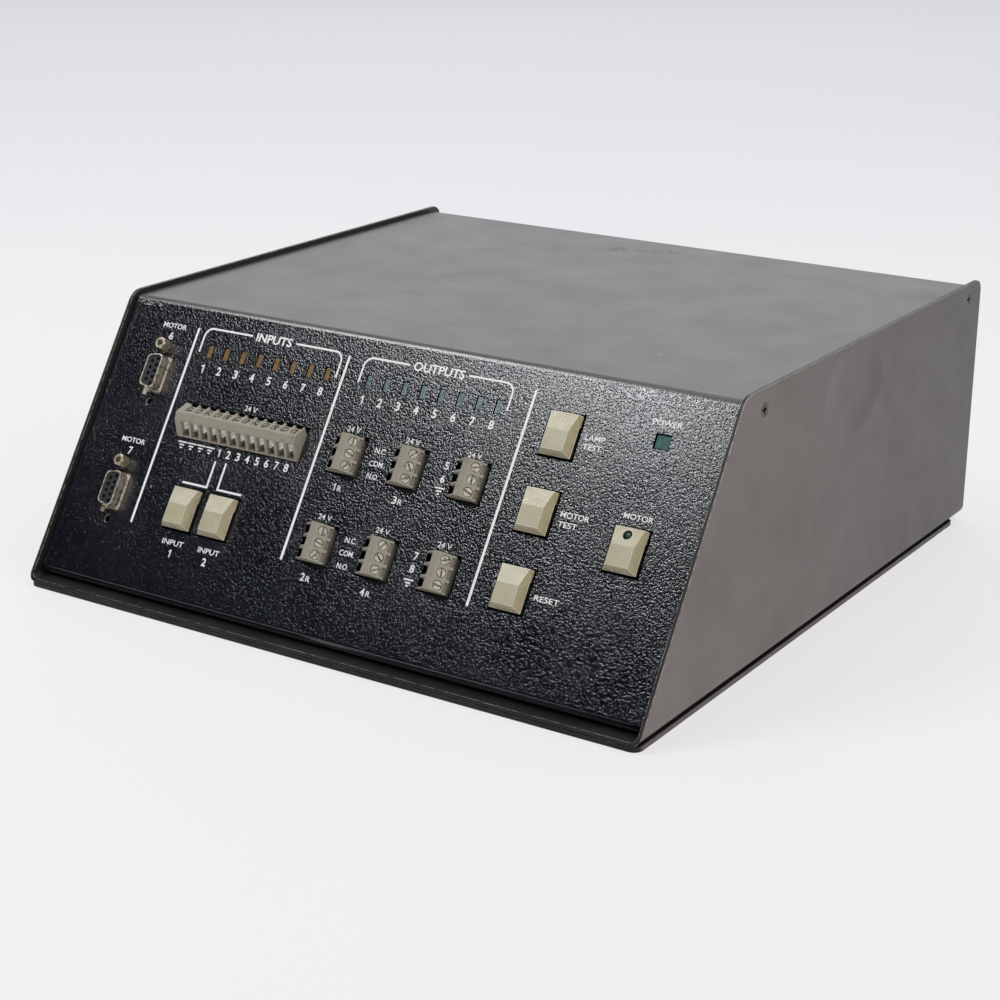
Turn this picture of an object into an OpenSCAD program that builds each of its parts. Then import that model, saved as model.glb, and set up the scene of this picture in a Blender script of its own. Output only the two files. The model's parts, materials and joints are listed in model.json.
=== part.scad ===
// Desktop robot controller: a sloped-front sheet-metal console with terminal blocks, key caps,
// two motor connectors and lamps on its front panel, and the boards and power supply inside.
// Lengths are millimetres. X is to the right, Y is to the back, Z is up.

/* [Case] */
// Width over the two side walls
case_w = 300; // [298:1:306]
// Depth of the side walls
case_d = 309; // [306:1:320]
// Height of the side walls above the shell's underside
case_h = 113; // [111:1:118]
// How far back the sloping front edge reaches at the top
setback = 74; // [70:1:78]
// Thickness of the U-shaped shell
shell_t = 1.6; // [1.2:0.1:2]
// Outer radius of the shell's two long bends
shell_bend = 4.3; // [3:0.1:5]
// Thickness of the base plate under the shell
plate_t = 2; // [1.5:0.5:3]
// How far the base plate stops short of the walls' rear edge
plate_gap = 10; // [6:1:20]

/* [Cover] */
// Thickness of the folded front and top cover
cover_t = 1.2; // [1:0.1:1.5]
// Depth of the front panel below the sloping wall edges
recess = 2.5; // [1.5:0.1:3.5]
// Depth of the top below the wall edges
top_recess = 2; // [1:0.1:3]
// Gap between the cover's flanges and the shell's walls
side_gap = 0.3; // [0.2:0.1:0.6]
// Depth of the cover's side flanges
flange = 14; // [12:1:18]
// Height of the cover's lip behind the rear panel's top edge
lip = 12; // [10:1:16]

/* [Terminal blocks] */
// Pitch of the screw terminals
pitch = 5.08; // [5:0.01:5.1]
// Width of each wire entry
entry_w = 3.9; // [3.5:0.1:4]
// Radius of a terminal screw's head
screw_r = 1.75; // [1.5:0.05:1.9]

/* [Keys] */
// Width of a key cap at its skirt
cap_w = 14.3; // [13:0.1:15]
// Length of a key cap at its skirt
cap_l = 17.4; // [16:0.1:18]
// Height of a key cap's ridge above the panel
cap_h = 4.7; // [4:0.1:6]
// Wall of a key cap
cap_t = 1.1; // [0.9:0.1:1.3]
// Gap between a key's cut-out and its cap
key_gap = 0.9; // [0.6:0.1:1.2]

/* [Connectors] */
// Distance from a nine-way connector's centre to each of its screw holes
jack_x = 12.5; // [12.4:0.05:12.6]
// Height of the connector shells above the panel
shell_rise = 4.8; // [4:0.1:6]
// Radius of the jack screws' threaded sockets
thread_r = 1.25; // [1.1:0.05:1.4]

/* [Boards] */
// Thickness of the circuit boards
board_t = 1.6; // [1.5:0.1:2]
// Gap between the panel's rear face and the front board
board_gap = 2.8; // [2.5:0.1:4]
// Height of the main board above the shell's floor
board_z = 9; // [6:1:12]

/* [Hidden] */
$fn = 32;
eps = 0.01;
slope = atan(case_h / setback);
board_h = cover_t + board_gap;          // panel face to the front board's face
cover_x = case_w / 2 - shell_t - side_gap;
cover_top = case_h - top_recess;
cover_low = shell_t + 0.4;
rear_y = case_d - 6;                    // the cover lip's outer face
panel_y = rear_y - cover_t - 0.2;       // the rear panel's outer face
panel_t = 1.6;
rear_screw_x = [-110, 0, 110];
bend_clear = shell_bend + 0.3;
side_holes = [[90, 104.5], [295, 106]]; // [y, z] of the screws in each side wall
studs = [for (u = [-136, -32, 57, 136]) for (v = [28, 124]) [u, v]];

// Front panel layout: u is across from the centre line, v is up the slope
block_v = 76.2;
block_u = -100;
block_end = 2.5;                        // the long block's left end plate
out_u = [-20.9, 8.6, 38.1];             // wire-entry edges of the output blocks
out_v = [91, 53];                       // upper ends of the output blocks
out_end = 0.2;
led_pitch = 8.97;
led_v = 114.8;
in_led_u = -99.2;
out_led_u = -15.4;
led_size = [2.5, 5.6];
led_gap = 0.25;
block_margin = 0.9;                     // gap at each end of a block's cut-out
block_cut = [-0.5, 15.1];               // the cut-out's extent across a block
cut_depth = 16;                         // a cutter's reach below and above the panel's face
motor_u = -122.75;
motor_v = [101, 47.4];
socket_gap = 1.35;                      // the cut-out's gap round each nine-way shell
socket_notch = [[-5.95, -10.2], [-2.2, 0]];
jack_rise = 5.1;
jack_flats = 4.75;
key_low = 37.4;                         // lower edge of the lowest row of caps
key_row = 31.1;
key_at = [[-84.4, key_low], [-65.2, key_low], [78.7, key_low], [78.7, key_low + key_row],
          [78.7, key_low + 2 * key_row], [120.4, key_low + 23.7]];
motor_key = 5;                          // the key with a lamp in its cap
power_at = [121, 113.3];
power_size = [6.8, 6.2];
power_gap = 0.25;
jack_hole_r = 2.9;
spare_hole_r = 2;

// Cap outline: the skirt's underside, its step, the ridge and the upper end
skirt_h = 1;
step_h = 0.2;
step_v = 12.8;
front_v = 1.6;
ridge_v = 9.9;
cap_back_h = 2.6;
draft = 0.635;
hinge = [cap_l - 3.4, -1.6];            // [v, h] of a key's hinge pin
pin_r = 0.8;
pin_gap = 0.06;
lug_x = 3.8;                            // inner face of each hinge lug
lug_w = 1.8;
lamp_v = 14.3;                          // the motor key's lamp

// Rear panel layout: x and z of each opening's centre
inlet_at = [112, 34];
switch_at = [112, 72];
fuse_at = [76, 34];
robot_at = [-70, 34];
serial_at = [-70, 70];
robot_d = [54.8, 10.8];
serial_d = [38.6, 8.2];
ribbon_x = -60;
ribbon_v = 50;                          // the front board's ribbon header
ribbon_y = 100;                         // the main board's ribbon header
header_h = 8;
bezel_t = 1.2;

// Helpers -----------------------------------------------------------------------------------

function unit(v) = v / norm(v);

// Points of one polygon corner b, rounded to radius r
function corner(a, b, c, r, n) =
    r == 0 ? [b] :
    let (p = unit(a - b), q = unit(c - b), half = acos(p * q) / 2,
         o = b + unit(p + q) * r / sin(half),
         s = b + p * r / tan(half) - o,
         e = b + q * r / tan(half) - o,
         from = atan2(s.y, s.x),
         turn = (atan2(e.y, e.x) - from + 540) % 360 - 180)
    [for (i = [0 : n]) o + r * [cos(from + turn * i / n), sin(from + turn * i / n)]];

// A polygon's points with every corner rounded to its own radius
function rounded(pts, radii, n = 8) = let (k = len(pts))
    [for (i = [0 : k - 1]) each corner(pts[(i + k - 1) % k], pts[i], pts[(i + 1) % k], radii[i], n)];

function box_pts(w, h) = [[-w / 2, -h / 2], [w / 2, -h / 2], [w / 2, h / 2], [-w / 2, h / 2]];

wall_points = rounded([[0, 0], [setback, case_h], [case_d, case_h], [case_d, 0]], [0.7, 9, 5.5, 3], 10);
tip_y = min([for (p = wall_points) p.x]); // the rounded front tip

// The part's frame: origin under the middle of the case, on the base plate's underside
module placed() { translate([0, -(case_d + tip_y) / 2, plate_t]) children(); }

// The front panel's frame: z is the height above the panel's face
module on_panel(u = 0, v = 0, h = 0) {
    placed() rotate([slope, 0, 0]) translate([u, v, h - recess]) children();
}

// The rear panel's frame: z points out of the rear panel's face, x is case x, y is up
module on_rear(at = [0, 0], h = 0) {
    placed() translate([at.x, panel_y + h, at.y]) rotate([90, 0, 0]) mirror([0, 0, 1]) children();
}

// A side wall's frame: z points out of the wall
module on_wall(side, at) {
    placed() translate([side * case_w / 2, at.x, at.y]) rotate([0, side * 90, 0]) children();
}

module rounded_box(w, h, t, r) { linear_extrude(t) polygon(rounded(box_pts(w, h), [r, r, r, r], 6)); }

// An outline in the YZ plane, extruded to a width and centred on X
module across(width) { translate([-width / 2, 0, 0]) rotate([90, 0, 90]) linear_extrude(width) children(); }

// A pan-head screw along -Z with its head's underside at z = 0, and a slot across it
module pan_screw(r, head_r, head_h, length) {
    difference() {
        union() {
            cylinder(r = head_r, h = head_h);
            translate([0, 0, -length]) cylinder(r = r, h = length + eps);
        }
        translate([-head_r, -head_r * 0.14, head_h * 0.55]) cube([2 * head_r, head_r * 0.28, head_h]);
    }
}

// A countersunk screw along -Z with its head's face at z = 0, and a cross recess
module flush_screw(r, head_r, head_h, length) {
    difference() {
        union() {
            translate([0, 0, -head_h]) cylinder(r1 = r, r2 = head_r, h = head_h);
            translate([0, 0, -length]) cylinder(r = r, h = length - head_h + eps);
        }
        for (turn = [0, 90]) rotate([0, 0, turn])
            translate([-head_r * 0.6, -head_r * 0.13, -head_h * 0.6])
                cube([head_r * 1.2, head_r * 0.26, head_h]);
    }
}

// Case --------------------------------------------------------------------------------------

module u_section() {
    outer = [[-case_w / 2, 0], [case_w / 2, 0], [case_w / 2, case_h + 1], [-case_w / 2, case_h + 1]];
    inner = [[-case_w / 2 + shell_t, shell_t], [case_w / 2 - shell_t, shell_t],
             [case_w / 2 - shell_t, case_h + 2], [-case_w / 2 + shell_t, case_h + 2]];
    difference() {
        polygon(rounded(outer, [shell_bend, shell_bend, 0, 0]));
        polygon(rounded(inner, [shell_bend - shell_t, shell_bend - shell_t, 0, 0]));
    }
}

module base_shell() color("dimgray") {
    difference() {
        placed() intersection() {
            across(case_w) polygon(wall_points);
            translate([0, case_d, 0]) rotate([90, 0, 0]) linear_extrude(case_d) u_section();
        }
        for (side = [-1, 1]) for (at = side_holes) on_wall(side, at)
            translate([0, 0, -shell_t - eps]) cylinder(r1 = 1.7, r2 = 3.25, h = shell_t + 2 * eps);
    }
}

// The base plate's screws, head down
module at_plate_screws() {
    for (x = [-120, 120]) for (y = [30, 270]) placed() translate([x, y, -plate_t]) children();
}

module base_plate() color("black") {
    difference() {
        placed() translate([0, (case_d - plate_gap + tip_y) / 2, -plate_t])
            rounded_box(case_w - 1, case_d - plate_gap - tip_y, plate_t, 4);
        at_plate_screws() translate([0, 0, -eps]) cylinder(r1 = 3.1, r2 = 1.6, h = plate_t + 2 * eps);
    }
}

module base_plate_screws() color("silver") {
    at_plate_screws() translate([0, 0, 0.1]) rotate([180, 0, 0]) flush_screw(1.4, 2.8, 1.5, plate_t - 0.2);
}

// A point on the sloping face d below the panel's surface, at height z
function slope_point(d, z) = [z / tan(slope) + (recess + d) / sin(slope), z];
return_y = slope_point(0, cover_low).x + 12;

// The cover's three bends in the YZ plane, on the surface d below its outer face
function cover_bends(d) =
    let (a = [return_y, cover_low + d], b = slope_point(d, cover_low + d), c = slope_point(d, cover_top - d),
         e = [rear_y - d, cover_top - d], f = [rear_y - d, 0])
    [each corner(a, b, c, 3 - d, 8), each corner(b, c, e, 4 - d, 8), each corner(c, e, f, 2.4 - d, 8)];
function reversed(pts) = [for (i = [len(pts) - 1 : -1 : 0]) pts[i]];

module cover_skin() {
    polygon([[return_y, cover_low], each cover_bends(0), [rear_y, cover_top - lip],
             [rear_y - cover_t, cover_top - lip], each reversed(cover_bends(cover_t)),
             [return_y, cover_low + cover_t]]);
}

module cover_flange() {
    polygon([each cover_bends(0), [rear_y, cover_top - flange],
             slope_point(flange, cover_top - flange), slope_point(flange, cover_low)]);
}

// A square cutter through the panel, between two [u, v] corners of the frame it is called in
module cutter(low, high) {
    translate([low.x, low.y, -cut_depth / 2]) cube([high.x - low.x, high.y - low.y, cut_depth]);
}
module opening(at, size, gap) { on_panel(at.x, at.y) cutter(-size / 2 - [gap, gap], size / 2 + [gap, gap]); }
module block_opening(ways, end) {
    cutter([-block_margin, block_cut[0]], [ways * pitch + end + block_margin, block_cut[1]]);
}

module panel_openings() {
    at_input_block() block_opening(12, block_end);
    for (i = [0 : 2]) for (j = [0, 1]) at_output_block(i, j) block_opening(3, out_end);
    for (i = [0 : 7]) for (u = [in_led_u, out_led_u]) opening([u + i * led_pitch, led_v], led_size, led_gap);
    opening(power_at, power_size, 0);
    for (at = key_at) on_panel(at.x, at.y)
        cutter([-cap_w / 2 - key_gap, -key_gap], [cap_w / 2 + key_gap, cap_l + key_gap]);
    for (v = motor_v) on_panel(motor_u, v) {
        translate([0, 0, -cut_depth / 2]) d_solid(socket_gap, cut_depth);
        cutter(socket_notch[0], socket_notch[1]);
        translate([0, jack_x, -cut_depth / 2]) cylinder(r = jack_hole_r, h = cut_depth);
        translate([0, -jack_x, -cut_depth / 2]) cylinder(r = spare_hole_r, h = cut_depth);
    }
}

module front_top_cover() color("#222226") {
    difference() {
        union() {
            placed() across(2 * cover_x) cover_skin();
            for (side = [-1, 1]) placed() translate([side * (cover_x - cover_t / 2), 0, 0])
                across(cover_t) cover_flange();
            for (side = [-1, 1]) for (at = side_holes) on_wall(side, at)
                translate([0, 0, cover_x - case_w / 2 - cover_t - 2]) cylinder(r = 3, h = 2 + eps);
        }
        panel_openings();
        for (side = [-1, 1]) for (at = side_holes) on_wall(side, at)
            translate([0, 0, -10]) cylinder(r = 1.55, h = 12);
        for (x = rear_screw_x) on_rear([x, 105], -1) cylinder(r = 1.7, h = 6);
        // clear of the shell's inner bends
        for (side = [-1, 1]) placed() translate([side * case_w / 2 - 3.4, -1, 0]) cube([6.8, 50, bend_clear]);
    }
}

module cover_screws() color("silver") {
    for (side = [-1, 1]) for (at = side_holes) on_wall(side, at)
        translate([0, 0, -0.15]) flush_screw(1.5, 3.05, 1.45, 8);
}

// Rear panel --------------------------------------------------------------------------------

module rear_slots() {
    for (i = [0 : 11]) on_rear([-14 + i * 6.5, 66], -3) translate([-1.25, 0, 0]) cube([2.5, 28, 6]);
}

module rear_panel() color("#2c2c30") {
    low = shell_t + 0.05;
    half = cover_x - cover_t - 0.2;
    top = cover_top - cover_t - 1.5;    // clear of the cover's bend
    difference() {
        union() {
            placed() translate([-half, panel_y - panel_t, bend_clear])
                cube([2 * half, panel_t, top - bend_clear]);
            placed() translate([-half + 5, panel_y - panel_t, low]) cube([2 * half - 10, panel_t, bend_clear]);
            placed() translate([-half + 5, panel_y - 14, low]) cube([2 * half - 10, 13, panel_t]);
        }
        rear_slots();
        on_rear(inlet_at, -3) rounded_box(27.8, 20.2, 6, 1);
        on_rear(switch_at, -3) rounded_box(13.4, 21.4, 6, 1);
        on_rear(fuse_at, -3) cylinder(r = 6.1, h = 6);
        on_rear(robot_at, -3) wide_d(robot_d, 0.4, 8);
        on_rear(serial_at, -3) wide_d(serial_d, 0.4, 8);
        rear_screw_pairs(-6) cylinder(r = 1.6, h = 9);
        for (x = rear_screw_x) {
            on_rear([x, 105], -5) cylinder(r = 1.6, h = 6);
            placed() translate([x, panel_y - 8, 0]) cylinder(r = 1.6, h = 6);
        }
    }
}

// Both screws of the inlet and of each wide connector
module rear_screw_pairs(h) {
    for (s = [-1, 1]) {
        on_rear(robot_at, h) translate([s * 30.55, 0, 0]) children();
        on_rear(serial_at, h) translate([s * 23.52, 0, 0]) children();
        on_rear(inlet_at, h) translate([s * 20, 0, 0]) children();
    }
}

module rear_panel_screws() color("silver") {
    for (x = rear_screw_x) {
        on_rear([x, 105], cover_t + 0.25) pan_screw(1.5, 2.8, 1.7, 6);
        placed() translate([x, panel_y - 8, shell_t + panel_t + 0.1]) pan_screw(1.5, 2.8, 1.7, 1.6);
    }
    rear_screw_pairs(bezel_t + 0.1) pan_screw(1.5, 2.6, 1.7, 6);
}

// Terminal blocks ---------------------------------------------------------------------------
// A block's own frame: x along its ways, y from the wire entries to its back, z above the panel

block_foot = [0, 0.9];                  // lower edge of the wire-entry face
block_front = [5.7, 6];                 // its upper edge
block_ridge = [8.9, 6.7];
block_back = [14.25, 2.24];
block_heel = [12, -0.3];
entry_low = 0.5;                        // the wire entry's extent along the entry face
entry_open = -3;                        // where the entry runs out through the foot
fin_from = 12.9;                        // the fins on the block's back start here
entry_high = 7.1;
entry_deep = 3.6;
clamp_deep = 1.6;
clamp_low = 2.7;
entry_along = unit(block_front - block_foot);
entry_in = [entry_along.y, -entry_along.x];
entry_tilt = atan2(entry_along.y, entry_along.x);
screw_along = unit(block_back - block_ridge);
screw_tilt = atan2(-screw_along.y, screw_along.x);
screw_at = block_ridge + 3 * screw_along;

function way_x(i, end) = end + (i + 0.5) * pitch;
function entry_point(s, d) = block_foot + s * entry_along + d * entry_in;

// A strip along the entry face, between two depths below it
module entry_strip(low, high, d1, d2) {
    polygon([entry_point(low, d1), entry_point(high, d1), entry_point(high, d2), entry_point(low, d2)]);
}

module block_rows(length) {
    difference() {
        rotate([90, 0, 90]) linear_extrude(length)
            polygon([[0, -board_h], block_foot, block_front, block_ridge, block_back, block_heel,
                     [block_heel.x, -board_h]]);
        children();
    }
}

// The tilted frame of a terminal screw: z points out of the screw face
module at_screw(x) { translate([x, screw_at.x, screw_at.y]) rotate([-screw_tilt, 0, 0]) children(); }

module terminal_block(ways, end, low) {
    block_rows(ways * pitch + end) {
        for (i = [0 : ways - 1]) {
            translate([way_x(i, end) - entry_w / 2, 0, 0]) rotate([90, 0, 90]) linear_extrude(entry_w)
                entry_strip(low, entry_high, -2, entry_deep);
            translate([way_x(i, end) - entry_w / 2, fin_from, -0.25]) cube([entry_w, 3, 8]);
            at_screw(way_x(i, end)) {
                translate([0, 0, -2.2]) cylinder(r = screw_r + 0.2, h = 4);
                translate([0, 0, -5]) cylinder(r = 1.25, h = 4);
            }
        }
    }
}

module terminal_screws(ways, end, first) {
    for (i = [0 : ways - 1]) at_screw(way_x(i, end)) rotate([0, 0, 73 * (i + first)]) difference() {
        union() {
            translate([0, 0, -1.9]) cylinder(r = screw_r, h = 1.5);
            translate([0, 0, -4.6]) cylinder(r = 1.15, h = 2.8);
        }
        translate([-2, -0.3, -1.1]) cube([4, 0.6, 2]);
    }
}

module terminal_clamps(ways, end) {
    for (i = [0 : ways - 1]) difference() {
        translate([way_x(i, end) - 1.8, 0, 0]) rotate([90, 0, 90]) linear_extrude(3.6)
            entry_strip(clamp_low, entry_high - 0.2, clamp_deep, clamp_deep + 0.6);
        translate([way_x(i, end), entry_point(clamp_low, 2).x, entry_point(clamp_low, 2).y])
            rotate([entry_tilt, 0, 0]) translate([0, 0, -2]) cylinder(r = 0.8, h = 4);
    }
}

module at_input_block() { on_panel(block_u, block_v) children(); }
module at_output_block(i, j) { on_panel(out_u[i], out_v[j]) rotate([0, 0, -90]) children(); }

module input_terminal_block() color("#b8b2a0") at_input_block() terminal_block(12, block_end, entry_low);
module input_terminal_screws() color("silver") at_input_block() terminal_screws(12, block_end, 0);
module input_terminal_clamps() color("silver") at_input_block() terminal_clamps(12, block_end);
module output_block(i, j) { color("#b8b2a0") at_output_block(i, j) terminal_block(3, out_end, entry_open); }
module relay_block_1() output_block(0, 0);
module relay_block_2() output_block(0, 1);
module relay_block_3() output_block(1, 0);
module relay_block_4() output_block(1, 1);
module transistor_block_56() output_block(2, 0);
module transistor_block_78() output_block(2, 1);
module output_terminal_screws() color("silver")
    for (i = [0 : 2]) for (j = [0, 1]) at_output_block(i, j) terminal_screws(3, out_end, 2 * i + 5 * j);
module output_terminal_clamps() color("silver")
    for (i = [0 : 2]) for (j = [0, 1]) at_output_block(i, j) terminal_clamps(3, out_end);

// D-shaped connectors -----------------------------------------------------------------------

// The nine-way outline, standing on end, its long side towards +x, grown by g
function d_points(g) = [
    [-3.95 - g, -6.76 - g], [3.95 + g, -8.15 - g], [3.95 + g, 8.15 + g], [-3.95 - g, 6.76 + g]];
module d_solid(g, t) { linear_extrude(t) polygon(rounded(d_points(g), [2, 2, 2, 2], 6)); }

// A wider outline of the given size, lying down, its long side up, grown by g
module wide_d(size, g, t) {
    w = size.x / 2 + g;
    h = size.y / 2 + g;
    linear_extrude(t) polygon(rounded([[-w + 1.4, -h], [w - 1.4, -h], [w, h], [-w, h]], [2, 2, 2, 2], 6));
}

flange_h = -cover_t - 0.1;              // front face of the connectors' flanges

module motor_shell(v) color("#a39d8e") on_panel(motor_u, v, flange_h) {
    difference() {
        union() {
            translate([0, 0, -1]) rounded_box(12.5, 30.8, 1, 1);
            d_solid(0, shell_rise - flange_h);
            for (i = [0 : 3]) d_solid(1.1 - i * 0.28, 0.25 + i * 0.22); // the drawn radius at its foot
        }
        translate([0, 0, -1.5]) d_solid(-0.45, 12);
        for (s = [-1, 1]) translate([0, s * jack_x, -1.5]) cylinder(r = 1.55, h = 2);
    }
}

module contact_places() {
    for (i = [-2 : 2]) translate([1.42, i * 2.77, 0]) children();
    for (i = [-1.5 : 1.5]) translate([-1.42, i * 2.77, 0]) children();
}

module motor_insert(v) color("#2a2c33") on_panel(motor_u, v, 0) {
    difference() {
        union() {
            translate([0, 0, flange_h - 1.1]) d_solid(-0.5, shell_rise - 0.7 - flange_h + 1.1);
            translate([0, 0, -board_h + 0.05]) rounded_box(9.6, 18.4, board_h + flange_h - 1 - 0.1, 1);
        }
        contact_places() translate([0, 0, -8]) cylinder(r = 0.8, h = 20);
    }
}

module motor_6_shell() motor_shell(motor_v[0]);
module motor_7_shell() motor_shell(motor_v[1]);
module motor_6_insert() motor_insert(motor_v[0]);
module motor_7_insert() motor_insert(motor_v[1]);

module motor_contacts() color("gold") {
    for (v = motor_v) on_panel(motor_u, v, 0) contact_places() difference() {
        translate([0, 0, -board_h + 0.1]) cylinder(r = 0.72, h = board_h + shell_rise - 1.5);
        cylinder(r = 0.45, h = 8);
    }
}

module motor_jack_screws() color("#a39d8e") {
    for (v = motor_v) on_panel(motor_u, v + jack_x, flange_h) difference() {
        union() {
            intersection() {
                translate([0, 0, 0.05]) cylinder(r = jack_flats / sqrt(3), h = jack_rise - flange_h - 0.05, $fn = 6);
                cylinder(r1 = 8.9, r2 = 2.25, h = jack_rise - flange_h);
            }
            translate([0, 0, -2.4]) cylinder(r = 1.45, h = 2.5);
        }
        translate([0, 0, 1.9]) cylinder(r = thread_r, h = 8);
    }
}

// Lamps -------------------------------------------------------------------------------------

module lamp_row(u) {
    for (i = [0 : 7]) on_panel(u + i * led_pitch, led_v, -board_h) {
        rounded_box(led_size.x, led_size.y, board_h - 0.3, 0.3);
    }
}
module input_lamps() color("#a98a68") lamp_row(in_led_u);
module output_lamps() color("#6d8a8c") lamp_row(out_led_u);
module power_lamp() color("#4c7577") on_panel(power_at.x, power_at.y, -board_h)
    rounded_box(power_size.x - 2 * power_gap, power_size.y - 2 * power_gap, board_h - 0.7, 0.4);

// Keys --------------------------------------------------------------------------------------
// A key's own frame: x across from its middle, y up the slope from its lower edge, z off the panel

module cap_section(length) { translate([0, length, 0]) rotate([90, 0, 0]) linear_extrude(length) children(); }

// The cap's cross-section with its sides moved in by d: a short skirt, then drafted sides
function cap_front(d) = let (half = cap_w / 2 - d, top = (cap_h - skirt_h) * draft) [
    [-half, -2], [-half, skirt_h], [-half + top, cap_h + eps], [half - top, cap_h + eps],
    [half, skirt_h], [half, -2]];

module cap_shell() {
    difference() {
        intersection() {
            across(cap_w + 2) polygon([
                [0, skirt_h], [front_v, cap_h], [ridge_v, cap_h], [cap_l, cap_back_h],
                [cap_l, step_h], [step_v, step_h], [step_v, skirt_h]]);
            cap_section(cap_l + 1) polygon(cap_front(0));
        }
        intersection() {
            across(cap_w) polygon([
                [cap_t, -1], [front_v + cap_t, cap_h - cap_t], [ridge_v, cap_h - cap_t],
                [cap_l - cap_t, cap_back_h - cap_t + 0.3], [cap_l - cap_t, -1]]);
            cap_section(cap_l) polygon(cap_front(cap_t));
        }
    }
}

module key_cap(lamp = false) {
    difference() {
        union() {
            cap_shell();
            translate([-1.5, 4.5, -2]) cube([3, 3, cap_h - cap_t + 2.1]);
            for (x = [-lug_x - lug_w, lug_x]) translate([x, hinge.x, hinge.y]) {
                translate([0, -1.5, 0]) cube([lug_w, 3, 4.3]);
                rotate([0, 90, 0]) cylinder(r = 1.5, h = lug_w);
            }
        }
        translate([-8, hinge.x, hinge.y]) rotate([0, 90, 0]) cylinder(r = pin_r + pin_gap, h = 16);
        if (lamp) translate([0, lamp_v, -3]) cylinder(r = 1.95, h = 12);
    }
}

module cap(i) { color("#bfb9a2") on_panel(key_at[i].x, key_at[i].y) key_cap(lamp = i == motor_key); }
module input_1_cap() cap(0);
module input_2_cap() cap(1);
module reset_cap() cap(2);
module motor_test_cap() cap(3);
module lamp_test_cap() cap(4);
module motor_cap() cap(motor_key);

module key_switch() {
    difference() {
        union() {
            translate([-6.9, 0.4, -board_h + 0.02]) cube([13.8, cap_l - 0.8, board_h - 1]);
            // a clip that shows under the cap's lower edge
            translate([-3.8, -0.3, -board_h + 0.02]) cube([1.3, 0.8, board_h - 0.4]);
        }
        translate([-2.2, 2.6, -3.5]) cube([4.4, 6.4, 4]);
        for (x = [-lug_x - lug_w - 0.4, lug_x - 0.4])
            translate([x, hinge.x - 2.2, -3.6]) cube([lug_w + 0.8, 4.4, 4]);
        translate([0, lamp_v, -3.4]) cylinder(r = 1.55, h = 4);
    }
    for (side = [-1, 1]) translate([side * (lug_x + lug_w / 2), hinge.x, hinge.y]) rotate([0, 90, 0])
        translate([0, 0, -lug_w / 2 - 0.5]) cylinder(r = pin_r, h = lug_w + 1);
}

module key_switches() color("#1c1c1e") for (at = key_at) on_panel(at.x, at.y) key_switch();

module motor_key_lamp() color("#2f6b55") on_panel(key_at[motor_key].x, key_at[motor_key].y + lamp_v, -3.3) {
    cylinder(r = 1.5, h = 5);
    translate([0, 0, 5]) sphere(r = 1.5);
}

// Boards ------------------------------------------------------------------------------------

module at_studs(h) { for (at = studs) on_panel(at.x, at.y, h) children(); }

module ribbon_header() { translate([-18, -4.5, 0]) cube([36, 9, header_h]); }

module front_board() color("darkgreen") {
    difference() {
        on_panel(0, 76, -board_h - board_t) rounded_box(280, 104, board_t, 2);
        at_studs(-board_h - board_t - 1) cylinder(r = 1.6, h = board_t + 2);
    }
    // ribbon header and a row of driver chips on the board's back
    on_panel(ribbon_x, ribbon_v, -board_h - board_t - header_h) ribbon_header();
    for (i = [0 : 5]) on_panel(-45 + i * 24, 100, -board_h - board_t - 3.5)
        translate([-10, -3.2, 0]) cube([20, 6.4, 3.5 + eps]);
}

module front_board_spacers() color("silver") {
    at_studs(-board_h) difference() {
        cylinder(r = 2.5, h = board_gap);
        translate([0, 0, -1]) cylinder(r = 1.6, h = board_gap + 2);
    }
}

module front_board_screws() color("silver") {
    at_studs(-board_h - board_t - 0.02) rotate([180, 0, 0]) pan_screw(1.45, 2.6, 1.6, 4.2);
}

main_low = shell_t + board_z;
main_top = main_low + board_t;
main_studs = [for (x = [-132, 0, 132]) for (y = [67, 167]) [x, y]];
module at_main_studs(z) { for (at = main_studs) placed() translate([at.x, at.y, z]) children(); }

module main_board() color("darkgreen") {
    difference() {
        placed() translate([0, 117, main_low]) rounded_box(276, 110, board_t, 2);
        at_main_studs(main_low - 1) cylinder(r = 1.6, h = board_t + 2);
    }
    placed() translate([ribbon_x, ribbon_y, main_top - eps]) ribbon_header();
}

module main_board_standoffs() color("goldenrod") {
    at_main_studs(shell_t) difference() {
        cylinder(r = 3, h = board_z);
        translate([0, 0, 2]) cylinder(r = 1.6, h = board_z);
    }
}

module main_board_screws() color("silver") at_main_studs(main_top + 0.02) pan_screw(1.45, 2.6, 1.6, 6);

// Parts that stand on the main board
module on_main_board() { placed() translate([0, 0, main_top + 0.01]) children(); }

// A chip along X with its two rows of legs
module chip(l, w) {
    translate([-l / 2, -w / 2, 0.6]) cube([l, w, 3.2]);
    for (side = [-1, 1]) translate([-l / 2 + 1, side * w / 2 - 0.4, 0]) cube([l - 2, 0.8, 2]);
}

module logic_chips() color("#26262a") {
    on_main_board() {
        for (i = [0 : 4]) for (j = [0, 1]) translate([-118 + i * 27, 122 + j * 17, 0]) chip(20, 6.6);
        for (i = [0, 1]) translate([34, 126 + i * 24, 0]) chip(52, 14);
    }
}

module output_relays() color("#3c5f86") {
    on_main_board() for (i = [0 : 3]) translate([-2 + i * 17, 76, 0])
        across(13) translate([14, 8]) polygon(rounded(box_pts(28, 16), [0.5, 0.5, 1, 1], 3));
}

module filter_capacitors() color("#3d4a63") {
    on_main_board() for (x = [88, 116]) for (y = [112, 142]) translate([x, y, 0]) difference() {
        cylinder(r = 12.5, h = 42);
        for (turn = [0, 90]) rotate([0, 0, turn]) translate([-8, -0.5, 41.4]) cube([16, 1, 2]);
        translate([0, 0, 38]) rotate_extrude() translate([13, 0]) circle(r = 1.2);
    }
}

// Power supply ------------------------------------------------------------------------------

trafo = [95, 234];
core = [78, 34, 65];
coil = [50, 58, 40];
window = [14, 42];

module at_trafo() { placed() translate([trafo.x, trafo.y, shell_t + 0.01]) children(); }

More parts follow.
